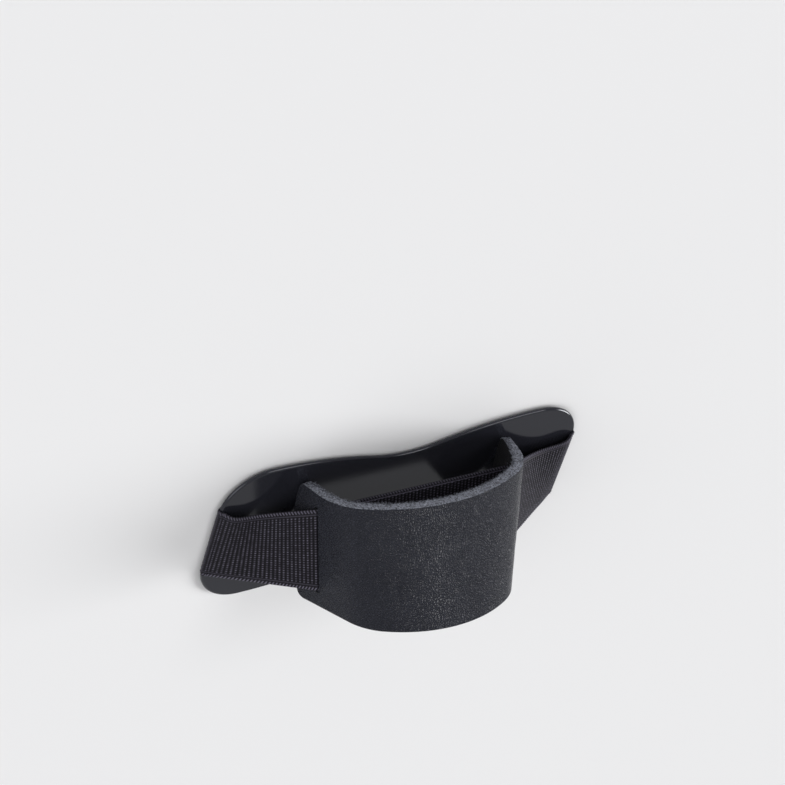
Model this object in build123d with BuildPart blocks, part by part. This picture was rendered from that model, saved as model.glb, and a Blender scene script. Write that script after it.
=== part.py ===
from build123d import *

import os
from math import cos, exp, radians, sin

# Finger-loop holder that sticks to the back of a handheld device. All sizes are in millimetres.
# The origin is the centre of the adhesive face, +X runs along the plate, +Y across it and +Z out of it.

# Base plate: a thin waisted plate with straight ends
plate_length = 88.6
plate_width = 39.4
waist_width = 30.8
plate_thickness = 0.8
corner_radius = 11.0
waist_radius = 30.0
top_edge_radius = 0.5
back_edge_chamfer = 0.15
notch_depth = 0.5

# Adhesive foam pad on the back of the plate
pad_thickness = 0.7
pad_inset = 1.5

# Elastic strap: woven with cross ribs, folded round both ends of the plate and passed through the leather
strap_width = 20.0
strap_thickness = 0.65
rib_pitch = 0.85
rib_depth = 0.1
strap_side_clearance = 0.4
strap_wrap_clearance = 0.03
strap_slack = 1.3
slack_peak = 0.14
edge_draw_in = 2.4
edge_draw_down = 1.8
tail_length = 11.0

# Leather band: a strip bent into a loop that leans towards +Y
loop_span = 51.8
loop_height = 29.9
band_width = 27.6
band_thickness = 2.4
band_lean = 17.0
band_shift = -0.4
foot_clearance = 0.4
foot_rise = 2.1
shoulder_radius = 12.0
end_bulge = 2.5
end_corner_radius = 1.2
slit_inset = 5.2
slit_clearance = 0.15

# How the two rims of the leather loop differ: insets from the loop's feet, drops from its highest crown
upper_shoulder_inset = 1.7
upper_crown_drop = 6.1
upper_crown_rise = 8.2
lower_foot_inset = 0.75
lower_shoulder_inset = 6.85
lower_crown_rise = 6.9

# Heights and places that follow from the driving sizes
plate_top = pad_thickness + plate_thickness
plate_middle = pad_thickness + plate_thickness / 2
notch_width = strap_width + 2 * strap_side_clearance
web_end = plate_length / 2 - notch_depth
turn_centre_x = web_end - plate_thickness / 2
turn_inner_radius = plate_thickness / 2 + strap_wrap_clearance
turn_outer_radius = turn_inner_radius + strap_thickness
turn_radius = (turn_inner_radius + turn_outer_radius) / 2

lean = radians(band_lean)
band_across = Vector(0, cos(lean), -sin(lean))
band_up = Vector(0, sin(lean), cos(lean))

# Each rim as foot span, foot height, shoulder span, shoulder height and crown height
upper_foot_height = (foot_clearance + band_width / 2 * sin(lean)) / cos(lean)
upper_crown_height = loop_height - upper_crown_drop
upper_rim = (
    loop_span,
    upper_foot_height,
    loop_span - 2 * upper_shoulder_inset,
    upper_crown_height - upper_crown_rise,
    upper_crown_height,
)
lower_rim = (
    loop_span - 2 * lower_foot_inset,
    upper_foot_height + foot_rise,
    loop_span - 2 * lower_shoulder_inset,
    loop_height - lower_crown_rise,
    loop_height,
)


def plate_outline():
    """The plate's outline: concave waists, convex shoulders and round corners, all tangent."""
    half_length = plate_length / 2
    half_width = plate_width / 2
    half_waist = waist_width / 2
    lobe_x = half_length - corner_radius
    rise = half_width - half_waist
    waist_share = waist_radius * 2 * rise / (lobe_x**2 + rise**2)
    with BuildSketch() as outline:
        with BuildLine():
            waist = TangentArc(
                (0, half_waist), (lobe_x * waist_share, half_waist + rise * waist_share), tangent=(1, 0)
            )
            shoulder = TangentArc(waist @ 1, (lobe_x, half_width), tangent=waist % 1)
            corner = TangentArc(shoulder @ 1, (half_length, half_width - corner_radius), tangent=(1, 0))
            Line(corner @ 1, (half_length, 0))
            mirror(about=Plane.YZ)
            mirror(about=Plane.XZ)
        make_face()
    return outline.sketch


def rim_point(side, span, height, across):
    """A point on one rim of the leather loop, on its left (side -1) or right (side 1)."""
    base = Vector(band_shift + side * span / 2, 0, plate_top)
    return base + band_across * across + band_up * height


def rim_face(across, foot_span, foot_height, shoulder_span, shoulder_height, crown_height):
    """The leather's section at one rim: two legs that run on past the feet, two round shoulders and a crown."""
    rim_plane = Plane(origin=rim_point(0, 0, 0, across), x_dir=(1, 0, 0), z_dir=-band_across)
    foot = Vector(foot_span / 2, foot_height)
    shoulder = Vector(shoulder_span / 2, shoulder_height)
    toe = foot + (foot - shoulder).normalized() * 2 * end_bulge
    with BuildSketch(rim_plane) as rim:
        with BuildLine() as outer:
            leg = Line((-toe.X, toe.Y), (-shoulder.X, shoulder.Y))
            crown = ThreePointArc(leg @ 1, (0, crown_height), (shoulder.X, shoulder.Y))
            Line(crown @ 1, (toe.X, toe.Y))
            fillet(outer.vertices().filter_by(lambda corner: corner.Y > foot_height), shoulder_radius)
            offset(amount=band_thickness, side=Side.RIGHT)
        make_face()
    return rim.sketch


def width_plane(upper_end, lower_end):
    """Plane across the strap: x along its width, y through its thickness."""
    along = upper_end - lower_end
    through = Vector(0, -along.Z, along.Y)
    return Plane(origin=(upper_end + lower_end) * 0.5, x_dir=along, z_dir=along.cross(through))


def slit_plane(side):
    """Plane of the strap where it enters the leather, at the same distance from both corners of the foot."""
    ends = []
    for across, rim in ((band_width / 2, upper_rim), (-band_width / 2, lower_rim)):
        foot_span, foot_height, shoulder_span, shoulder_height, _ = rim
        foot = rim_point(side, foot_span, foot_height, across)
        shoulder = rim_point(side, shoulder_span, shoulder_height, across)
        ends.append(foot + (shoulder - foot).normalized() * slit_inset)
    return width_plane(*ends)


def strap_edge(plane, edge):
    """The point where the strap's upper (1) or lower (-1) edge crosses a plane across the strap."""
    return plane.from_local_coords((edge * strap_width / 2, 0, 0))


def slack_shift(share):
    """How far the upper edge of a rising span leaves its straight line: it lifts off the plate, then sags."""
    lift = strap_slack * share / slack_peak * exp(1 - share / slack_peak)
    sag = 4 * share * (1 - share)
    return Vector(0, -edge_draw_in * sag, lift - edge_draw_down * sag)


def ribbed_sections(start_plane, finish_plane, slack=False):
    """Sections of the strap between two planes, thick and thin by turns, with the upper edge slack or taut."""
    run = finish_plane.origin - start_plane.origin
    steps = 2 * max(round(run.length / rib_pitch), 1)
    sections = []
    for step in range(steps + 1):
        share = step / steps
        ends = []
        for edge in (1, -1):
            start = strap_edge(start_plane, edge)
            finish = strap_edge(finish_plane, edge)
            ends.append(start + (finish - start) * share)
        if slack:
            ends[0] += slack_shift(share)
        with BuildSketch(width_plane(*ends)) as section:
            Rectangle((ends[0] - ends[1]).length, strap_thickness - 2 * rib_depth * (step % 2))
        sections.append(section.sketch)
    return sections


os.makedirs("parts", exist_ok=True)

# Thin plate with a shallow notch in each end, fully round where the strap folds over it
with BuildPart() as base_plate:
    with BuildSketch(Plane.XY.offset(pad_thickness)):
        add(plate_outline())
    extrude(amount=plate_thickness)
    fillet(base_plate.faces().sort_by(Axis.Z)[-1].edges(), top_edge_radius)
    chamfer(base_plate.faces().sort_by(Axis.Z)[0].edges(), back_edge_chamfer)
    with BuildSketch(Plane.XY.offset(pad_thickness)):
        with GridLocations(plate_length / 2 + turn_centre_x, 0, 2, 1):
            Rectangle(plate_length / 2 - turn_centre_x, notch_width)
    extrude(amount=plate_thickness, mode=Mode.SUBTRACT)
    for side in (1, -1):
        with BuildSketch(Plane.XZ):
            with BuildLine():
                nose = CenterArc((side * turn_centre_x, plate_middle), plate_thickness / 2, -90, side * 180)
                Line(nose @ 1, nose @ 0)
            make_face()
        extrude(amount=notch_width / 2, both=True)
base_plate.part.label = "base_plate"
export_step(base_plate.part, "parts/base_plate.step")

# Foam pad inside the plate's edge, cut back at both ends to leave room for the strap's tails
with BuildPart() as adhesive_pad:
    with BuildSketch():
        add(plate_outline())
        offset(amount=-pad_inset, mode=Mode.REPLACE)
        with GridLocations(2 * turn_centre_x, 0, 2, 1):
            Rectangle(2 * (tail_length + strap_side_clearance), notch_width, mode=Mode.SUBTRACT)
    extrude(amount=pad_thickness)
adhesive_pad.part.label = "adhesive_pad"
export_step(adhesive_pad.part, "parts/adhesive_pad.step")

# Strap: a tail under each end of the plate, a tight turn, a rising span and the run inside the loop
with BuildPart() as elastic_strap:
    for side in (1, -1):
        with BuildSketch(Plane.XZ):
            with BuildLine():
                outer_turn = CenterArc((side * turn_centre_x, plate_middle), turn_outer_radius, -90, side * 180)
                inner_turn = CenterArc((side * turn_centre_x, plate_middle), turn_inner_radius, -90, side * 180)
                Line(outer_turn @ 1, inner_turn @ 1)
                Polyline(
                    outer_turn @ 0,
                    outer_turn @ 0 - Vector(side * tail_length, 0),
                    inner_turn @ 0 - Vector(side * tail_length, 0),
                    inner_turn @ 0,
                )
            make_face()
        extrude(amount=strap_width / 2, both=True)
        end_plane = width_plane(
            Vector(side * turn_centre_x, strap_width / 2, plate_middle + turn_radius),
            Vector(side * turn_centre_x, -strap_width / 2, plate_middle + turn_radius),
        )
        loft(ribbed_sections(end_plane, slit_plane(side), slack=True), ruled=True)
    loft(ribbed_sections(slit_plane(-1), slit_plane(1)), ruled=True)
elastic_strap.part.label = "elastic_strap"
export_step(elastic_strap.part, "parts/elastic_strap.step")

# Leather strip bent into a loop, with bulging ends, round end corners and a slit near each end for the strap
upper_foot = rim_point(0, 0, upper_rim[1], band_width / 2)
lower_foot = rim_point(0, 0, lower_rim[1], -band_width / 2)
beyond_feet = band_up * -4 * end_bulge
with BuildPart() as leather_band:
    loft([rim_face(-band_width / 2, *lower_rim), rim_face(band_width / 2, *upper_rim)], ruled=True)
    with BuildSketch(Plane.YZ):
        with BuildLine():
            end_arc = SagittaArc((upper_foot.Y, upper_foot.Z), (lower_foot.Y, lower_foot.Z), end_bulge)
            Polyline(
                end_arc @ 1,
                end_arc @ 1 + Vector(beyond_feet.Y - band_width / 2, beyond_feet.Z),
                end_arc @ 0 + Vector(beyond_feet.Y + band_width / 2, beyond_feet.Z),
                end_arc @ 0,
            )
        make_face()
    extrude(amount=loop_span, both=True, mode=Mode.SUBTRACT)
    foot_ends = leather_band.edges().filter_by(GeomType.LINE).sort_by(SortBy.LENGTH)[:4]
    fillet(foot_ends, end_corner_radius)
    for side in (1, -1):
        with BuildSketch(slit_plane(side)):
            Rectangle(notch_width, strap_thickness + 2 * slit_clearance)
        extrude(amount=2 * band_thickness, dir=(1, 0, 0), both=True, mode=Mode.SUBTRACT)
leather_band.part.label = "leather_band"
export_step(leather_band.part, "parts/leather_band.step")
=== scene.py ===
from math import cos, pi, radians, sin, sqrt

import bmesh
import bpy
import numpy as np
from mathutils import Matrix, Vector


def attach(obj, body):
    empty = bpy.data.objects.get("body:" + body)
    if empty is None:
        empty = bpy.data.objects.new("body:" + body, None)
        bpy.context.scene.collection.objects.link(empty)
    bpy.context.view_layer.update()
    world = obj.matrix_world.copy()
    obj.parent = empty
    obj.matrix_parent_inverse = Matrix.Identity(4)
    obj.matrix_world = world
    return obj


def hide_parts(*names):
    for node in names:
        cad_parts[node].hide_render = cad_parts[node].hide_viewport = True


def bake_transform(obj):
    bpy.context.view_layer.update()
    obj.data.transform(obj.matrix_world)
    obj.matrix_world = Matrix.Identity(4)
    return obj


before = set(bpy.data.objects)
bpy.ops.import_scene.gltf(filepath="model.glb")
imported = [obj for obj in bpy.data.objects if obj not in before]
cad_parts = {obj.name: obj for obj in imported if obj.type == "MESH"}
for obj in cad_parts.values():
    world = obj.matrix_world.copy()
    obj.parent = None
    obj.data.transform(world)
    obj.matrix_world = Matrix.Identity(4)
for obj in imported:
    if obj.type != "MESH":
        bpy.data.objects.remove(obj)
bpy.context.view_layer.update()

MM = 0.001

# Sizes of the part in millimetres, as in its source
PLATE_LENGTH = 88.6
PLATE_THICKNESS = 0.8
NOTCH_DEPTH = 0.5
PAD_THICKNESS = 0.7
STRAP_WIDTH = 20.0
STRAP_THICKNESS = 0.65
STRAP_WRAP = 0.03
STRAP_SIDE_CLEARANCE = 0.4
STRAP_SLACK = 1.3
SLACK_PEAK = 0.14
EDGE_DRAW_IN = 2.4
EDGE_DRAW_DOWN = 1.8
RIB_PITCH = 0.85
TAIL_LENGTH = 11.0
LOOP_SPAN = 51.8
LOOP_HEIGHT = 29.9
BAND_WIDTH = 27.6
BAND_THICKNESS = 2.4
BAND_SHIFT = -0.4
LEAN = radians(17.0)
FOOT_CLEARANCE = 0.4
FOOT_RISE = 2.1
SHOULDER_RADIUS = 12.0
END_BULGE = 2.5
END_CORNER_RADIUS = 1.2
SLIT_INSET = 5.2
SLIT_CLEARANCE = 0.15
UPPER_SHOULDER_INSET = 1.7
UPPER_CROWN_DROP = 6.1
UPPER_CROWN_RISE = 8.2
LOWER_FOOT_INSET = 0.75
LOWER_SHOULDER_INSET = 6.85
LOWER_CROWN_RISE = 6.9

# Fine detail of the webbing in millimetres; edge places are distances from the strap's edge
BEAD_PITCH = 0.62
PICOT_END = 0.98
EDGE_LINE = 1.3
EDGE_LINE_WIDTH = 0.14
WEAVE_START = 1.42
WEAVE_FULL = 1.62
WEAVE_RELIEF = 0.24
STRAP_EDGE_ROUND = 0.33
STRAP_TUCK = 1.2
# Near the fold the weave is flattened and its tone held dark, a painted shade, and a painted highlight line
# runs along the fold
FOLD_CALM_START = 0.15
FOLD_CALM_END = 0.32
FOLD_HIGHLIGHT_WIDTH = 0.12
SPAN_STEP = 0.145
RUN_STEP = 0.15
CROSS_STEP = 0.15
SPAN_PHASE = 0.3
RUN_PHASE = 0.1

# Fine detail of the leather in millimetres
LEATHER_STEP = 0.32
OUTER_ROUND = 0.25
INNER_ROUND = 0.2
RIM_START = 0.08
TIP_TAPER = 0.28
TIP_TAPER_START = 9
TIP_TAPER_FULL = 1
FIBRES_UPPER = 1500
FIBRES_LOWER = 700
FIBRE_SPREAD = 0.35
FIBRE_LENGTHS = (0.2, 0.6)
FIBRE_RADII = (0.03, 0.055)
FIBRE_SINK = 0.15
FIBRE_SETBACK = 0.05

# A step along a leg goes up the loop by this share of its length
LEG_RISE = 0.96

# How closely a row or column of the leather has to meet the edge of a slit
SLIT_TOLERANCE = 1e-6

# Kinds of the leather's faces, which are also the places of their materials
GRAIN, RIM, SUEDE = 0, 1, 2

# Stage: half the floor's side in millimetres, the surround's brighter side, level and slope,
# and each lamp's name, direction, angle and strength
FLOOR_HALF = 900
SURROUND_AXIS = (-0.8, -0.5, 0.3)
SURROUND_LEVEL = 0.39
SURROUND_SLOPE = 0.6
LAMPS = (
    ("key", (0.9, -0.1, 0.42), 0.5, 2.3),
    ("strip", (0.42, 0.62, 0.66), 0.4, 0.6),
    ("fill", (-0.8, 0.3, 0.5), 0.8, 0.95),
)

# Camera: place in millimetres, its three directions, sensor and lens in millimetres, clip range in metres
CAMERA_PLACE = (-359.19, 538.39, 401.80)
CAMERA_RIGHT = (0.8582, 0.2329, 0.4574)
CAMERA_UP = (0.1863, 0.6890, -0.7004)
CAMERA_BACK = (-0.4783, 0.6863, 0.5479)
CAMERA_SENSOR = 36.0
CAMERA_LENS = 161.21
CAMERA_CLIP = (0.01, 10)

# Places and heights that follow from the sizes
PICOT_PITCH = RIB_PITCH * 0.8
PLATE_TOP = PAD_THICKNESS + PLATE_THICKNESS
PLATE_MIDDLE = PAD_THICKNESS + PLATE_THICKNESS / 2
TURN_CENTRE = PLATE_LENGTH / 2 - NOTCH_DEPTH - PLATE_THICKNESS / 2
TURN_RADIUS = PLATE_THICKNESS / 2 + STRAP_WRAP + STRAP_THICKNESS / 2
FOLD_PLACE = TAIL_LENGTH + pi / 2 * TURN_RADIUS
TURN_END = TAIL_LENGTH + pi * TURN_RADIUS
SLIT_GAP = STRAP_THICKNESS + 2 * SLIT_CLEARANCE
SLIT_ROWS = (SLIT_INSET - SLIT_GAP / 2, SLIT_INSET + SLIT_GAP / 2)
SLIT_HALF_LENGTH = STRAP_WIDTH / 2 + STRAP_SIDE_CLEARANCE
SLIT_SPAN = (BAND_WIDTH / 2 - SLIT_HALF_LENGTH, BAND_WIDTH / 2 + SLIT_HALF_LENGTH)
BAND_ACROSS = np.array([0, cos(LEAN), -sin(LEAN)])
BAND_UP = np.array([0, sin(LEAN), cos(LEAN)])
BAND_BASE = np.array([BAND_SHIFT, 0, PLATE_TOP])

# Each rim as half foot span, foot height, half shoulder span, shoulder height and crown height
UPPER_FOOT_HEIGHT = (FOOT_CLEARANCE + BAND_WIDTH / 2 * sin(LEAN)) / cos(LEAN)
UPPER_CROWN = LOOP_HEIGHT - UPPER_CROWN_DROP
UPPER_RIM = (
    LOOP_SPAN / 2,
    UPPER_FOOT_HEIGHT,
    LOOP_SPAN / 2 - UPPER_SHOULDER_INSET,
    UPPER_CROWN - UPPER_CROWN_RISE,
    UPPER_CROWN,
)
LOWER_RIM = (
    LOOP_SPAN / 2 - LOWER_FOOT_INSET,
    UPPER_FOOT_HEIGHT + FOOT_RISE,
    LOOP_SPAN / 2 - LOWER_SHOULDER_INSET,
    LOOP_HEIGHT - LOWER_CROWN_RISE,
    LOOP_HEIGHT,
)


# Meshes and noise

def make_object(name, verts, faces):
    """A smooth mesh object from millimetre points."""
    mesh = bpy.data.meshes.new(name)
    mesh.from_pydata((np.asarray(verts) * MM).tolist(), [], faces)
    mesh.validate()
    mesh.polygons.foreach_set("use_smooth", [True] * len(mesh.polygons))
    obj = bpy.data.objects.new(name, mesh)
    bpy.context.scene.collection.objects.link(obj)
    return obj


def face_outwards(mesh):
    """Turn the faces of a closed mesh outwards."""
    solid = bmesh.new()
    solid.from_mesh(mesh)
    if solid.calc_volume(signed=True) < 0:
        mesh.flip_normals()
    solid.free()


def add_attribute(obj, name, values):
    attribute = obj.data.attributes.new(name, "FLOAT", "POINT")
    attribute.data.foreach_set("value", np.asarray(values, np.float32))


def smoothstep(low, high, x):
    t = np.clip((x - low) / (high - low), 0, 1)
    return t * t * (3 - 2 * t)


def hash_noise(*keys):
    """Repeatable numbers from 0 to 1 for whole-number keys."""
    value = np.zeros(np.broadcast(*keys).shape)
    for factor, key in zip((127.1, 311.7, 74.7), keys):
        value = value + factor * np.asarray(key, float)
    return np.modf(np.abs(np.sin(value) * 43758.5453))[0]


def value_noise(x, y, seed):
    """Smooth noise from 0 to 1 over the plane."""
    x0, y0 = np.floor(x), np.floor(y)
    fx, fy = x - x0, y - y0
    fx, fy = fx * fx * (3 - 2 * fx), fy * fy * (3 - 2 * fy)
    a = hash_noise(x0, y0, seed + 0 * x0)
    b = hash_noise(x0 + 1, y0, seed + 0 * x0)
    c = hash_noise(x0, y0 + 1, seed + 0 * x0)
    d = hash_noise(x0 + 1, y0 + 1, seed + 0 * x0)
    return (a * (1 - fx) + b * fx) * (1 - fy) + (c * (1 - fx) + d * fx) * fy


def ripple(height, x, y, seed):
    """Noise about zero with a given height."""
    return height * (value_noise(x, y, seed) - 0.5)


def grid_normals(points, closed=False):
    """Unit normals of a grid of points, from its two directions."""
    along = np.gradient(points, axis=0)
    if closed:
        across = np.roll(points, -1, 1) - np.roll(points, 1, 1)
    else:
        across = np.gradient(points, axis=1)
    normals = np.cross(along, across)
    return normals / np.maximum(np.linalg.norm(normals, axis=2, keepdims=True), 1e-9)


# The leather loop's form

def rim_edges(rim):
    """Half of a rim's outline, from the foot to the crown's middle: leg, shoulder and crown."""
    foot_x, foot_z, shoulder_x, shoulder_z, crown_z = rim
    rise = crown_z - shoulder_z
    crown_radius = (shoulder_x**2 + rise**2) / (2 * rise)
    crown_centre = np.array([0, crown_z - crown_radius])
    foot = np.array([foot_x, foot_z])
    leg = np.array([shoulder_x, shoulder_z]) - foot
    leg = leg / np.linalg.norm(leg)
    inward = np.array([-leg[1], leg[0]])
    start = foot + inward * SHOULDER_RADIUS - crown_centre
    half_b = start @ leg
    c = start @ start - (crown_radius - SHOULDER_RADIUS) ** 2
    length = -half_b + sqrt(half_b**2 - c)
    centre = foot + leg * length + inward * SHOULDER_RADIUS
    out = (centre - crown_centre) / np.linalg.norm(centre - crown_centre)
    shoulder_start = np.arctan2(-inward[1], -inward[0])
    shoulder_end = np.arctan2(out[1], out[0])
    return {
        "foot": foot, "leg": leg, "inward": inward, "length": length, "centre": centre,
        "angles": (shoulder_start, shoulder_end),
        "crown_centre": crown_centre, "crown_radius": crown_radius,
    }


RIMS = (rim_edges(LOWER_RIM), rim_edges(UPPER_RIM))
RIM_PLACES = (-BAND_WIDTH / 2, BAND_WIDTH / 2)
LEG_LENGTH = (RIMS[0]["length"] + RIMS[1]["length"]) / 2


def rim_points(edges, part, share):
    """Outline points and inward normals in a rim's plane, for shares along its leg, shoulder or crown."""
    share = np.asarray(share, float)[..., None]
    if part == "leg":
        points = edges["foot"] + edges["leg"] * edges["length"] * share
        return points, np.broadcast_to(edges["inward"], points.shape)
    first, last = edges["angles"]
    if part == "shoulder":
        angle = first + (last - first) * share
        centre, radius = edges["centre"], SHOULDER_RADIUS
    else:
        angle = last + (pi / 2 - last) * share
        centre, radius = edges["crown_centre"], edges["crown_radius"]
    out = np.concatenate([np.cos(angle), np.sin(angle)], axis=-1)
    return centre + out * radius, -out


def in_space(side, flat, rim_place):
    """Points in space from points in a rim's plane, on the loop's left (side -1) or right (side 1)."""
    return BAND_BASE + BAND_ACROSS * rim_place + flat[..., :1] * [side, 0, 0] + flat[..., 1:] * BAND_UP


def band_point(side, part, share, across, depth):
    """Points of the leather: side and place along the loop, share across from the lower rim, depth."""
    total = 0
    for edges, rim_place, weight in zip(RIMS, RIM_PLACES, (1 - across, across)):
        flat, inward = rim_points(edges, part, share)
        flat = flat + inward * np.asarray(depth)[..., None]
        total = total + in_space(side, flat, rim_place) * np.asarray(weight)[..., None]
    return total


def tip_taper(place, across):
    """How much of its thickness the right leg keeps, at a distance from its foot and a share across."""
    return 1 - TIP_TAPER * smoothstep(TIP_TAPER_START, TIP_TAPER_FULL, place) * across**2


def slit_ends(side):
    """The strap's line where it enters the leather, as its lower and upper end."""
    ends = []
    for edges, rim_place in zip(RIMS, RIM_PLACES):
        ends.append(in_space(side, edges["foot"] + edges["leg"] * SLIT_INSET, rim_place))
    middle = (ends[0] + ends[1]) / 2
    along = (ends[1] - ends[0]) / np.linalg.norm(ends[1] - ends[0])
    return middle - along * STRAP_WIDTH / 2, middle + along * STRAP_WIDTH / 2


# The strap: stations along its length, each with its lower and upper edge

def strap_stations(side):
    """Both edges of the strap from its tail under the plate, round the fold and up to the slit."""
    path = []
    for x in np.linspace(TURN_CENTRE - TAIL_LENGTH, TURN_CENTRE, 60, endpoint=False):
        path.append((x, PLATE_MIDDLE - TURN_RADIUS))
    for angle in np.linspace(-pi / 2, pi / 2, 40):
        path.append((TURN_CENTRE + TURN_RADIUS * cos(angle), PLATE_MIDDLE + TURN_RADIUS * sin(angle)))
    path = np.array(path)
    lower = np.stack([side * path[:, 0], np.full(len(path), -STRAP_WIDTH / 2), path[:, 1]], 1)
    upper = lower * [1, -1, 1]
    slit_lower, slit_upper = slit_ends(side)
    share = np.linspace(0, 1, 160)[1:, None]
    lift = STRAP_SLACK * share / SLACK_PEAK * np.exp(1 - share / SLACK_PEAK)
    sag = 4 * share * (1 - share)
    shift = np.hstack([0 * share, -EDGE_DRAW_IN * sag, lift - EDGE_DRAW_DOWN * sag])
    span_lower = lower[-1] + (slit_lower - lower[-1]) * share
    span_upper = upper[-1] + (slit_upper - upper[-1]) * share + shift
    inside = np.linspace(0, 1, 8)[1:, None] * np.array([-side * STRAP_TUCK, 0, 0])
    lower = np.vstack([lower, span_lower, slit_lower + inside])
    upper = np.vstack([upper, span_upper, slit_upper + inside])
    return lower, upper


def run_stations():
    """Both edges of the strap's straight run inside the loop, from slit to slit."""
    left, right = slit_ends(-1), slit_ends(1)
    tuck = np.array([STRAP_TUCK, 0, 0])
    share = np.linspace(0, 1, 200)[:, None]
    lower = left[0] + tuck + (right[0] - left[0] - 2 * tuck) * share
    upper = left[1] + tuck + (right[1] - left[1] - 2 * tuck) * share
    return lower, upper


def resample(lower, upper, step):
    """The same stations at even steps along the strap's middle, with each one's length from the start."""
    middle = (lower + upper) / 2
    length = np.concatenate([[0], np.cumsum(np.linalg.norm(np.diff(middle, axis=0), axis=1))])
    count = max(int(round(length[-1] / step)), 2)
    at = np.linspace(0, length[-1], count + 1)
    even = []
    for edge in (lower, upper):
        even.append(np.stack([np.interp(at, length, edge[:, k]) for k in range(3)], 1))
    return even[0], even[1], at


def weave(length, across, calm, trim, stagger):
    """Height and tone of the webbing's face: ribs of beads, a plain line and slanted loops at each edge. The
    tone is darkest in the gaps between ribs and beads, a painted shade.
    """
    edge = (STRAP_WIDTH / 2 - np.abs(across)) * trim
    column = length / RIB_PITCH
    row = across / BEAD_PITCH + stagger * (np.round(column) % 2)
    rib = 0.5 + 0.5 * np.cos(2 * pi * column)
    bead = 0.5 + 0.5 * np.cos(2 * pi * row)
    wobble = hash_noise(np.round(column), np.round(row))
    ground = rib**0.8 * (0.45 + 0.55 * bead)
    # Near black in the gaps between ribs and beads: painted shade in the recesses of the weave
    shade = rib**1.3 * (0.06 + 0.94 * bead**1.3) * (0.7 + 0.5 * wobble)
    picot = 0.5 + 0.5 * np.cos(2 * pi * (length / PICOT_PITCH - edge * 0.75))
    picot = picot * smoothstep(-0.1, 0.15, edge) * (1 - smoothstep(PICOT_END - 0.18, PICOT_END, edge))
    line = np.exp(-(((edge - EDGE_LINE) / (EDGE_LINE_WIDTH * trim)) ** 2))
    inner = smoothstep(WEAVE_START, WEAVE_FULL, edge)
    height = ground * inner + (1 - inner) * np.maximum(picot**0.7, 0.75 * line)
    # A larger trim also brightens the plain edge line's tone: the line is real, and its extra brightness on
    # the inner run is painted light in the loop's shade
    tone = shade * inner + (1 - inner) * np.maximum(picot**1.3, (0.9 * trim - 0.3) * line)
    # Where calm, at the fold, the tone is held dark: painted shade
    return height * (1 - calm) + 0.6 * calm, tone * (1 - calm) + 0.1 * calm


def strap_rows(lower, upper, phase, step, fold=None, trim=1.0, stagger=0.0):
    """Rows of points round the strap with its weave on both faces, their tones and their lengths."""
    lower, upper, length = resample(lower, upper, step)
    columns = int(round(STRAP_WIDTH / CROSS_STEP))
    share = np.linspace(0, 1, columns + 1)
    middle = lower[:, None] + (upper - lower)[:, None] * share[None, :, None]
    normals = grid_normals(middle)
    if normals[len(normals) // 2, columns // 2, 2] < 0:
        normals = -normals
    across = (share - 0.5) * STRAP_WIDTH
    along = length[:, None] + 0 * across[None] + phase
    calm = np.zeros_like(along)
    if fold is not None:
        turn = np.clip((length - fold) / TURN_RADIUS, -pi / 2, pi / 2)
        along = along + (turn * STRAP_THICKNESS / 2)[:, None]
        from_fold = np.abs(length - fold)
        calm = calm + (1 - smoothstep(FOLD_CALM_START, FOLD_CALM_END, from_fold))[:, None]
    across_grid = across[None] + 0 * along
    height, tone = weave(along, across_grid, calm, trim, stagger)
    under, under_tone = weave(along + RIB_PITCH / 2, across_grid, calm, trim, stagger)
    if fold is not None:
        # A painted highlight: a bright line of tone along the outermost fold
        tone = tone + 0.5 * np.exp(-(((length - fold) / FOLD_HIGHLIGHT_WIDTH) ** 2))[:, None]
    edge = np.minimum(STRAP_WIDTH / 2 - np.abs(across), STRAP_EDGE_ROUND)
    taper = np.sqrt(np.clip(1 - ((STRAP_EDGE_ROUND - edge) / STRAP_EDGE_ROUND) ** 2, 0, 1)) * 0.85 + 0.15
    thick = STRAP_THICKNESS / 2
    top = middle + normals * ((thick - WEAVE_RELIEF * (1 - height)) * taper[None])[..., None]
    bottom = middle - normals * ((thick - WEAVE_RELIEF * (1 - under)) * taper[None])[..., None]
    loop = np.concatenate([top, bottom[:, ::-1]], axis=1)
    tone = np.concatenate([tone, under_tone[:, ::-1]], axis=1)
    return loop, tone, length


def webbing_object(name, loop, tone):
    """A closed webbing mesh from rows of points round the strap, with a cap at both ends."""
    rows, around = tone.shape
    index = np.arange(rows * around).reshape(rows, around)
    nxt = np.roll(index, -1, 1)
    faces = np.stack([index[:-1], nxt[:-1], nxt[1:], index[1:]], -1).reshape(-1, 4).tolist()
    for row in (0, rows - 1):
        for k in range(around // 2 - 1):
            cap = [index[row, k], index[row, k + 1], index[row, around - 2 - k], index[row, around - 1 - k]]
            faces.append([int(i) for i in (cap if row else cap[::-1])])
    obj = make_object(name, loop.reshape(-1, 3), faces)
    face_outwards(obj.data)
    add_attribute(obj, "tone", tone.ravel())
    return obj


# Materials

def new_material(name):
    material = bpy.data.materials.new(name)
    material.use_nodes = True
    tree = material.node_tree
    shader = tree.nodes["Principled BSDF"]
    return material, tree, shader


def node(tree, kind, **settings):
    made = tree.nodes.new(kind)
    for key, value in settings.items():
        if key in made.inputs:
            made.inputs[key].default_value = value
        else:
            setattr(made, key, value)
    return made


def object_place(tree):
    return tree.nodes.new("ShaderNodeTexCoord").outputs["Object"]


def texture(tree, place, kind, **settings):
    """A texture node over the points of a socket."""
    made = node(tree, kind, **settings)
    tree.links.new(place, made.inputs["Vector"])
    return made


def noise(tree, place, **settings):
    return texture(tree, place, "ShaderNodeTexNoise", **settings).outputs["Fac"]


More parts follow.
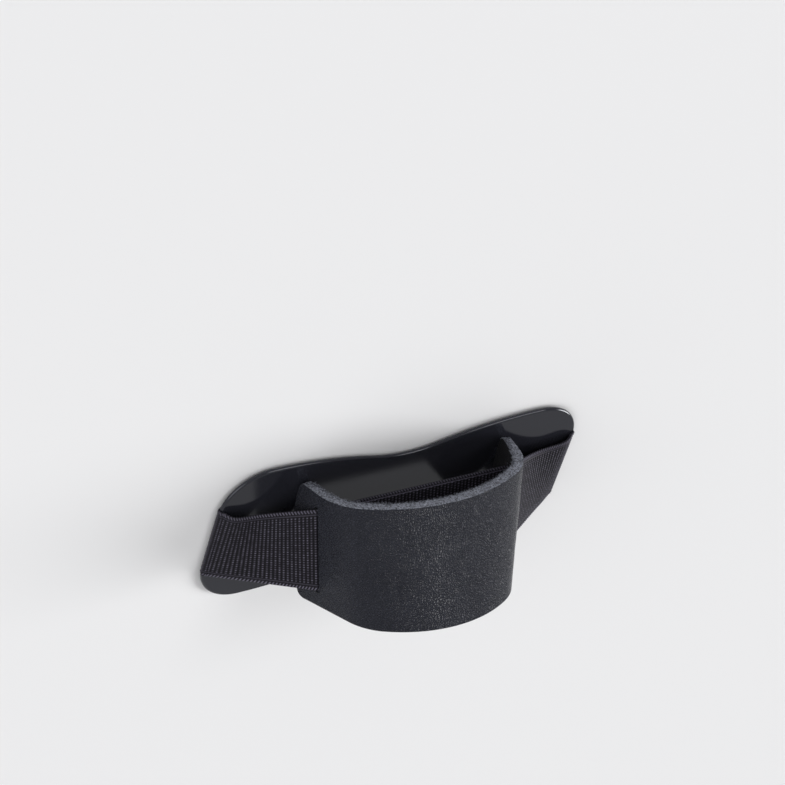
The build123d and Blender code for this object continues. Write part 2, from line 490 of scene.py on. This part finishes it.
def ramp(tree, source, stops):
    """A colour ramp of (place, grey or colour) stops fed by a socket."""
    made = tree.nodes.new("ShaderNodeValToRGB")
    elements = made.color_ramp.elements
    while len(elements) < len(stops):
        elements.new(0.5)
    for element, (place, colour) in zip(elements, stops):
        element.position = place
        if not isinstance(colour, tuple):
            colour = (colour, colour, colour)
        element.color = (*colour, 1)
    tree.links.new(source, made.inputs["Fac"])
    return made.outputs["Color"]


def multiply(tree, colour, shade, factor):
    """A colour darkened by a shade."""
    made = node(tree, "ShaderNodeMix", data_type="RGBA", blend_type="MULTIPLY")
    made.inputs["Factor"].default_value = factor
    tree.links.new(colour, made.inputs["A"])
    tree.links.new(shade, made.inputs["B"])
    return made.outputs["Result"]


def bump(tree, shader, height, strength, distance, after=None):
    made = node(tree, "ShaderNodeBump", Strength=strength, Distance=distance)
    tree.links.new(height, made.inputs["Height"])
    if after is not None:
        tree.links.new(after, made.inputs["Normal"])
    tree.links.new(made.outputs["Normal"], shader.inputs["Normal"])
    return made.outputs["Normal"]


def plate_material():
    material, tree, shader = new_material("satin_black_plastic")
    shader.inputs["Base Color"].default_value = (0.016, 0.0165, 0.022, 1)
    shader.inputs["IOR"].default_value = 1.5
    shader.inputs["Specular Tint"].default_value = (0.9, 0.92, 1.0, 1)
    place = object_place(tree)
    fine = noise(tree, place, Scale=9000.0, Detail=2.0)
    cloud = noise(tree, place, Scale=60.0, Detail=3.0)
    rough = ramp(tree, cloud, [(0.3, 0.09), (0.7, 0.13)])
    tree.links.new(rough, shader.inputs["Roughness"])
    bump(tree, shader, fine, 0.06, 0.00005)
    return material


def pad_material():
    material, tree, shader = new_material("foam_tape")
    cells = texture(tree, object_place(tree), "ShaderNodeTexVoronoi", Scale=4200.0).outputs["Distance"]
    colour = ramp(tree, cells, [(0.0, 0.012), (0.8, 0.035)])
    tree.links.new(colour, shader.inputs["Base Color"])
    shader.inputs["Roughness"].default_value = 0.9
    bump(tree, shader, cells, 0.5, 0.0001)
    return material


def webbing_material():
    material, tree, shader = new_material("woven_elastic")
    tone = node(tree, "ShaderNodeAttribute", attribute_name="tone")
    fibre = noise(tree, object_place(tree), Scale=7000.0, Detail=3.0)
    mix = node(tree, "ShaderNodeMix", data_type="FLOAT")
    mix.inputs["Factor"].default_value = 0.2
    tree.links.new(tone.outputs["Fac"], mix.inputs["A"])
    tree.links.new(fibre, mix.inputs["B"])
    colour = ramp(tree, mix.outputs["Result"], [
        (0.08, (0.0052, 0.0049, 0.0065)),
        (0.35, (0.027, 0.0253, 0.0340)),
        (0.62, (0.080, 0.0750, 0.1000)),
        (0.9, (0.175, 0.164, 0.218)),
    ])
    tree.links.new(colour, shader.inputs["Base Color"])
    shader.inputs["Roughness"].default_value = 0.55
    shader.inputs["Specular IOR Level"].default_value = 0.1
    shader.inputs["Sheen Weight"].default_value = 0.03
    shader.inputs["Sheen Roughness"].default_value = 0.4
    bump(tree, shader, fibre, 0.35, 0.00006)
    return material


def grain_material():
    material, tree, shader = new_material("grained_leather")
    place = object_place(tree)
    warp = texture(tree, place, "ShaderNodeTexNoise", Scale=900.0, Detail=2.0)
    shift = node(tree, "ShaderNodeVectorMath", operation="MULTIPLY_ADD")
    tree.links.new(warp.outputs["Color"], shift.inputs[0])
    shift.inputs[1].default_value = (0.0003, 0.0003, 0.0003)
    tree.links.new(place, shift.inputs[2])
    pebble = texture(
        tree, shift.outputs[0], "ShaderNodeTexVoronoi", Scale=2000.0, feature="DISTANCE_TO_EDGE"
    )
    cloud = noise(tree, place, Scale=140.0, Detail=4.0)
    speck = noise(tree, place, Scale=3800.0, Detail=2.0)
    # The creases between the pebbles are painted darker, a painted shade, as well as sunk by the bump
    crease = ramp(tree, pebble.outputs["Distance"], [(0.0, 0.0), (0.28, 1.0)])
    base = ramp(tree, cloud, [(0.3, (0.030, 0.0318, 0.043)), (0.7, (0.035, 0.0371, 0.050))])
    tree.links.new(multiply(tree, base, crease, 0.4), shader.inputs["Base Color"])
    rough = ramp(tree, speck, [(0.35, 0.20), (0.65, 0.32)])
    tree.links.new(rough, shader.inputs["Roughness"])
    shader.inputs["Specular IOR Level"].default_value = 0.135
    first = bump(tree, shader, crease, 1.0, 0.00018)
    bump(tree, shader, speck, 0.7, 0.00018, first)
    return material


def rim_material():
    material, tree, shader = new_material("cut_leather_edge")
    place = object_place(tree)
    fibre = noise(tree, place, Scale=2600.0, Detail=4.0, Roughness=0.7)
    pits = noise(tree, place, Scale=2400.0, Detail=2.0)
    colour = ramp(tree, fibre, [
        (0.34, (0.016, 0.017, 0.021)),
        (0.45, (0.124, 0.132, 0.160)),
        (0.68, (0.35, 0.37, 0.435)),
    ])
    pit = ramp(tree, pits, [(0.36, 0.12), (0.47, 1.0)])
    tree.links.new(multiply(tree, colour, pit, 0.8), shader.inputs["Base Color"])
    shader.inputs["Roughness"].default_value = 0.9
    first = bump(tree, shader, fibre, 0.9, 0.00025)
    bump(tree, shader, pits, 0.6, 0.0003, first)
    return material


def suede_material():
    material, tree, shader = new_material("black_suede")
    nap = noise(tree, object_place(tree), Scale=3000.0, Detail=4.0, Roughness=0.7)
    colour = ramp(tree, nap, [(0.3, (0.0014, 0.0014, 0.0020)), (0.7, (0.0060, 0.0060, 0.0085))])
    tree.links.new(colour, shader.inputs["Base Color"])
    shader.inputs["Roughness"].default_value = 0.95
    shader.inputs["Sheen Weight"].default_value = 0.02
    shader.inputs["Specular IOR Level"].default_value = 0.15
    bump(tree, shader, nap, 0.8, 0.0002)
    return material


# The leather loop's mesh

def leather_stations():
    """Places along half the loop: distances from the foot on the leg, then shares of shoulder and crown."""
    corner_turn = np.linspace(0, pi / 2, 11)
    leg_rows = np.concatenate([
        END_CORNER_RADIUS * (1 - np.cos(corner_turn))[:-1],
        np.linspace(END_CORNER_RADIUS, SLIT_ROWS[0], 5)[:-1],
        np.linspace(SLIT_ROWS[0], SLIT_ROWS[1], 4)[:-1],
        np.linspace(SLIT_ROWS[1], LEG_LENGTH, int((LEG_LENGTH - SLIT_ROWS[1]) / LEATHER_STEP)),
    ])[:-1]
    stations = [("leg", row) for row in leg_rows]
    shoulders = [(edges["angles"][1] - edges["angles"][0]) * SHOULDER_RADIUS for edges in RIMS]
    crowns = [(pi / 2 - edges["angles"][1]) * edges["crown_radius"] for edges in RIMS]
    shoulder_count = int(np.mean(shoulders) / LEATHER_STEP)
    crown_count = int(np.mean(crowns) / LEATHER_STEP)
    stations += [("shoulder", share) for share in np.linspace(0, 1, shoulder_count + 1)[:-1]]
    stations += [("crown", share) for share in np.linspace(0, 1, crown_count + 1)]
    return stations


def leather_section():
    """Points round the strip's section as (place across, depth, kind), and the places on its flat faces."""
    flat = np.concatenate([
        np.linspace(OUTER_ROUND, SLIT_SPAN[0], 12)[:-1],
        np.linspace(SLIT_SPAN[0], SLIT_SPAN[1], 66)[:-1],
        np.linspace(SLIT_SPAN[1], BAND_WIDTH - OUTER_ROUND, 12),
    ])
    rim = []
    for angle in np.linspace(0, pi / 2, 5)[1:]:
        rim.append((OUTER_ROUND * (1 - sin(angle)), OUTER_ROUND * (1 - cos(angle))))
    for depth in np.linspace(OUTER_ROUND, BAND_THICKNESS - INNER_ROUND, 13)[1:]:
        rim.append((0.0, depth))
    rim.append((INNER_ROUND * (1 - cos(pi / 4)), BAND_THICKNESS - INNER_ROUND * (1 - sin(pi / 4))))
    section = [(place, 0.0, GRAIN) for place in flat]
    section += [(BAND_WIDTH - inset, depth, RIM) for inset, depth in rim]
    section += [(place, BAND_THICKNESS, SUEDE) for place in flat[::-1]]
    section += [(inset, depth, RIM) for inset, depth in rim[::-1]]
    return section, flat


def leg_points(side, place, across, depth):
    """Points round a leg at a distance from its foot, with round corners, a bulging end and a level slit."""
    to_corner = END_CORNER_RADIUS - min(place, END_CORNER_RADIUS)
    margin = END_CORNER_RADIUS - sqrt(END_CORNER_RADIUS**2 - to_corner**2)
    across = margin / BAND_WIDTH + across * (1 - 2 * margin / BAND_WIDTH)
    hump = np.interp(place, [0, *SLIT_ROWS, LEG_LENGTH], [0, 1, 1, 0])
    stretch = np.interp(place, [0, SLIT_ROWS[1], LEG_LENGTH], [0, 0, 1])
    tilt = [edges["inward"][1] / edges["inward"][0] for edges in RIMS]
    tilt = tilt[0] * (1 - across) + tilt[1] * across
    bulge = END_BULGE / LEG_RISE * (1 - (2 * across - 1) ** 2) * max(1 - place / SLIT_ROWS[0], 0)
    at = place - bulge + depth * np.abs(tilt) * hump
    if side > 0:
        depth = depth * tip_taper(place, across)
    total = 0
    for edges, rim_place, weight in zip(RIMS, RIM_PLACES, (1 - across, across)):
        reach = at + (edges["length"] - LEG_LENGTH) * stretch
        flat = edges["foot"] + edges["leg"] * reach[:, None] + edges["inward"] * depth[:, None]
        total = total + in_space(side, flat, rim_place) * weight[:, None]
    return total


def leather_wave(points, places, depths, kinds, middle):
    """How far each point moves along its normal: soft waves outside, rough cut rims and a napped inside."""
    seam = np.linalg.norm(np.diff(points[:, middle], axis=0), axis=1)
    s = np.cumsum(np.concatenate([[0], seam]))[:, None] + 0 * places[None]
    v = places[None] + 0 * s
    w = depths[None] + 0 * s
    outer = ripple(0.10, s / 5.0, v / 5.0, 3) + ripple(0.03, s / 0.7, v / 0.7, 5)
    rim = ripple(0.22, s / 0.45, w / 0.4 + v, 7) + ripple(0.12, s / 0.9, w / 0.9 + v, 9)
    inner = ripple(0.12, s / 0.8, v / 0.8, 11)
    rim = rim * smoothstep(0.2, 0.6, w)
    wave = np.where(kinds[None] == GRAIN, outer, np.where(kinds[None] == SUEDE, inner, rim))
    rows = np.arange(len(points))
    to_end = np.minimum(rows, len(points) - 1 - rows)
    return wave * smoothstep(0, 3, to_end)[:, None]


def face_kind(first, second):
    """The kind of a face between two neighbours round the section."""
    if first[2] == second[2] and first[2] != RIM:
        return first[2]
    return GRAIN if (first[1] + second[1]) / 2 < RIM_START else RIM


def in_slit(pair, limits):
    """Whether two neighbouring places lie between the limits of a slit."""
    return min(pair) >= limits[0] - SLIT_TOLERANCE and max(pair) <= limits[1] + SLIT_TOLERANCE


def leather_faces(leg_places, section, flat):
    """Faces of the leather and their kinds, with the slits left open and walled and both ends capped."""
    rows, around, count = len(leg_places), len(section), len(flat)
    inner_first = around // 2
    index = np.arange(rows * around).reshape(rows, around)
    nxt = np.roll(index, -1, 1)

    def opposite(k):
        return inner_first + count - 1 - k

    def wall(row_a, k_a, row_b, k_b):
        outer = [index[row_a, k_a], index[row_b, k_b]]
        return outer + [index[row_b, opposite(k_b)], index[row_a, opposite(k_a)]]

    slit_columns = [
        k for k in range(count - 1)
        if in_slit(flat[k:k + 2], SLIT_SPAN)
    ]
    slit_rows = []
    for row in range(rows - 1):
        pair = leg_places[row:row + 2]
        if None not in pair and in_slit(pair, SLIT_ROWS):
            slit_rows.append(row)
    cut = np.zeros((rows - 1, around), bool)
    for row in slit_rows:
        for k in slit_columns:
            cut[row, k] = True
            cut[row, opposite(k + 1)] = True

    faces = []
    kinds = []
    for row in range(rows - 1):
        for k in range(around):
            if not cut[row, k]:
                faces.append((index[row, k], index[row + 1, k], nxt[row + 1, k], nxt[row, k]))
                kinds.append(face_kind(section[k], section[(k + 1) % around]))

    walls = []
    first_k, last_k = slit_columns[0], slit_columns[-1] + 1
    for group in np.split(slit_rows, np.flatnonzero(np.diff(slit_rows) > 1) + 1):
        top, bottom = group[0], group[-1] + 1
        for k in slit_columns:
            walls.append(wall(top, k, top, k + 1))
            walls.append(wall(bottom, k + 1, bottom, k))
        for row in group:
            walls.append(wall(row + 1, first_k, row, first_k))
            walls.append(wall(row, last_k, row + 1, last_k))
    for row in (0, rows - 1):
        caps = [wall(row, k, row, k + 1) for k in range(count - 1)]
        caps.append([index[row, k] for k in range(count - 1, inner_first + 1)])
        caps.append([index[row, k] for k in range(inner_first + count - 1, around)] + [index[row, 0]])
        walls += [cap if row == 0 else cap[::-1] for cap in caps]
    faces = [[int(i) for i in face] for face in faces + walls]
    return faces, kinds + [RIM] * len(walls)


def leather_mesh():
    """The leather strip as a swept section with soft edges, a slit near each foot and rough cut rims."""
    half_loop = leather_stations()
    section, flat = leather_section()
    places, depths, kinds = (np.array(column) for column in zip(*section))
    stations = [(-1, *station) for station in half_loop] + [(1, *station) for station in half_loop[-2::-1]]
    rows = []
    for side, part, place in stations:
        if part == "leg":
            rows.append(leg_points(side, place, places / BAND_WIDTH, depths))
        else:
            rows.append(band_point(side, part, np.full(len(section), place), places / BAND_WIDTH, depths))
    points = np.stack(rows)
    middle = len(flat) // 2
    normals = grid_normals(points, closed=True)
    if normals[len(points) // 2, middle, 2] < 0:
        normals = -normals
    points = points + normals * leather_wave(points, places, depths, kinds, middle)[..., None]
    leg_places = [place if part == "leg" else None for _, part, place in stations]
    faces, face_kinds = leather_faces(leg_places, section, flat)
    obj = make_object("leather_loop", points.reshape(-1, 3), faces)
    obj.data.polygons.foreach_set("material_index", face_kinds)
    return obj


def add_fibre(verts, faces, root, direction, curl, sides, length, radius):
    """Add one curled fibre as a tapering tube with three sides."""
    base = len(verts)
    for t, thin in ((0, 1.0), (0.5, 0.8), (1.0, 0.25)):
        centre = root + direction * (length + FIBRE_SINK) * t + curl * length * t * t
        for angle in (0, 2 * pi / 3, 4 * pi / 3):
            verts.append(centre + (sides[0] * cos(angle) + sides[1] * sin(angle)) * radius * thin)
    for ring in (base, base + 3):
        for k in range(3):
            m = (k + 1) % 3
            faces.append((ring + k, ring + m, ring + 3 + m, ring + 3 + k))
    faces.append((base + 2, base + 1, base))
    faces.append((base + 6, base + 7, base + 8))


def fibre_mesh():
    """Short loose fibres along the inner edge of both cut rims."""
    rng = np.random.default_rng(7)
    verts, faces = [], []
    for across, sign, total in ((1.0, 1, FIBRES_UPPER), (0.0, -1, FIBRES_LOWER)):
        out = BAND_ACROSS * sign
        for _ in range(total):
            side = rng.choice([-1, 1])
            part = rng.choice(["leg", "shoulder", "crown"], p=[0.22, 0.3, 0.48])
            share = rng.uniform(0.3, 1) if part == "leg" else rng.random()
            depth = BAND_THICKNESS - abs(rng.normal(0, FIBRE_SPREAD))
            if part == "leg" and side > 0:
                depth = depth * tip_taper(share * RIMS[int(across)]["length"], across)
            place = (side, part, np.array([share]), np.array([across]))
            root = band_point(*place, np.array([depth]))[0]
            inward = band_point(*place, np.array([depth + 1.0]))[0] - root
            around = np.cross(out, inward)
            lean_in = rng.uniform(0.1, 1.0)
            direction = out * rng.uniform(0.15, 0.7) + inward * lean_in + around * rng.normal(0, 0.5)
            direction /= np.linalg.norm(direction)
            curl = around * rng.normal(0, 0.35) + inward * rng.normal(0, 0.2)
            length = rng.uniform(*FIBRE_LENGTHS)
            radius = rng.uniform(*FIBRE_RADII)
            side_a = np.cross(direction, out + 0.3 * around)
            side_a /= np.linalg.norm(side_a)
            sides = (side_a, np.cross(direction, side_a))
            root = root - direction * FIBRE_SINK - out * FIBRE_SETBACK
            add_fibre(verts, faces, root, direction, curl, sides, length, radius)
    return make_object("leather_fibres", np.array(verts), faces)


# Pieces

webbing = webbing_material()
for name, side in (("left", -1), ("right", 1)):
    loop, tone, length = strap_rows(*strap_stations(side), SPAN_PHASE, SPAN_STEP, FOLD_PLACE)
    turned = int(np.searchsorted(length, TURN_END))
    tail = webbing_object("strap_tail_" + name, loop[:turned + 1], tone[:turned + 1])
    span = webbing_object("strap_" + name, loop[turned:], tone[turned:])
    for piece in (tail, span):
        piece.data.materials.append(webbing)
        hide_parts("elastic_strap")
    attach(tail, "base")
    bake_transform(span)
# The inner run's trim of 1.5 widens its edges and paints its edge line brighter, painted light under the
# loop
loop, tone, _ = strap_rows(*run_stations(), RUN_PHASE, RUN_STEP, trim=1.5, stagger=0.5)
run = webbing_object("strap_inner_run", loop, tone)
run.data.materials.append(webbing)
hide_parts("elastic_strap")
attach(run, "loop")

leather = leather_mesh()
for made in (grain_material(), rim_material(), suede_material()):
    leather.data.materials.append(made)
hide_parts("leather_band")
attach(leather, "loop")

fibres = fibre_mesh()
fibres.data.materials.append(leather.data.materials[RIM])
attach(fibres, "loop")

for name, made in (("base_plate", plate_material()), ("adhesive_pad", pad_material())):
    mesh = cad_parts[name].data
    mesh.materials.clear()
    mesh.materials.append(made)


# Floor, light and camera

def floor_piece():
    corners = [(-1, -1, 0), (1, -1, 0), (1, 1, 0), (-1, 1, 0)]
    floor = make_object("floor", np.array(corners) * FLOOR_HALF, [(0, 1, 2, 3)])
    material, _, shader = new_material("pale_floor")
    shader.inputs["Base Color"].default_value = (0.82, 0.82, 0.83, 1)
    shader.inputs["Roughness"].default_value = 0.7
    shader.inputs["Specular IOR Level"].default_value = 0.2
    floor.data.materials.append(material)


def studio_world():
    """A soft surround that is brighter on the left than on the right."""
    world = bpy.data.worlds.new("studio")
    world.use_nodes = True
    tree = world.node_tree
    direction = tree.nodes.new("ShaderNodeTexCoord").outputs["Generated"]
    facing = node(tree, "ShaderNodeVectorMath", operation="DOT_PRODUCT")
    tree.links.new(direction, facing.inputs[0])
    facing.inputs[1].default_value = SURROUND_AXIS
    strength = node(tree, "ShaderNodeMath", operation="MULTIPLY_ADD")
    tree.links.new(facing.outputs["Value"], strength.inputs[0])
    strength.inputs[1].default_value = SURROUND_LEVEL * SURROUND_SLOPE
    strength.inputs[2].default_value = SURROUND_LEVEL
    background = tree.nodes["Background"]
    background.inputs["Color"].default_value = (1, 1, 1, 1)
    tree.links.new(strength.outputs[0], background.inputs["Strength"])
    bpy.context.scene.world = world


def sun_light(name, towards, angle, strength):
    data = bpy.data.lights.new(name, "SUN")
    data.angle = angle
    data.energy = strength
    light = bpy.data.objects.new(name, data)
    light.rotation_euler = (-Vector(towards)).to_track_quat("-Z", "Y").to_euler()
    bpy.context.scene.collection.objects.link(light)


def place_camera():
    """The camera at the photograph's angle."""
    data = bpy.data.cameras.new("camera")
    data.sensor_width = CAMERA_SENSOR
    data.lens = CAMERA_LENS
    data.clip_start, data.clip_end = CAMERA_CLIP
    camera = bpy.data.objects.new("camera", data)
    place = [value * MM for value in CAMERA_PLACE]
    columns = (CAMERA_RIGHT, CAMERA_UP, CAMERA_BACK, place)
    camera.matrix_world = Matrix([*zip(*columns), (0, 0, 0, 1)])
    bpy.context.scene.collection.objects.link(camera)
    bpy.context.scene.camera = camera


floor_piece()
studio_world()
for lamp in LAMPS:
    sun_light(*lamp)
bpy.context.scene.view_settings.view_transform = "Standard"
place_camera()
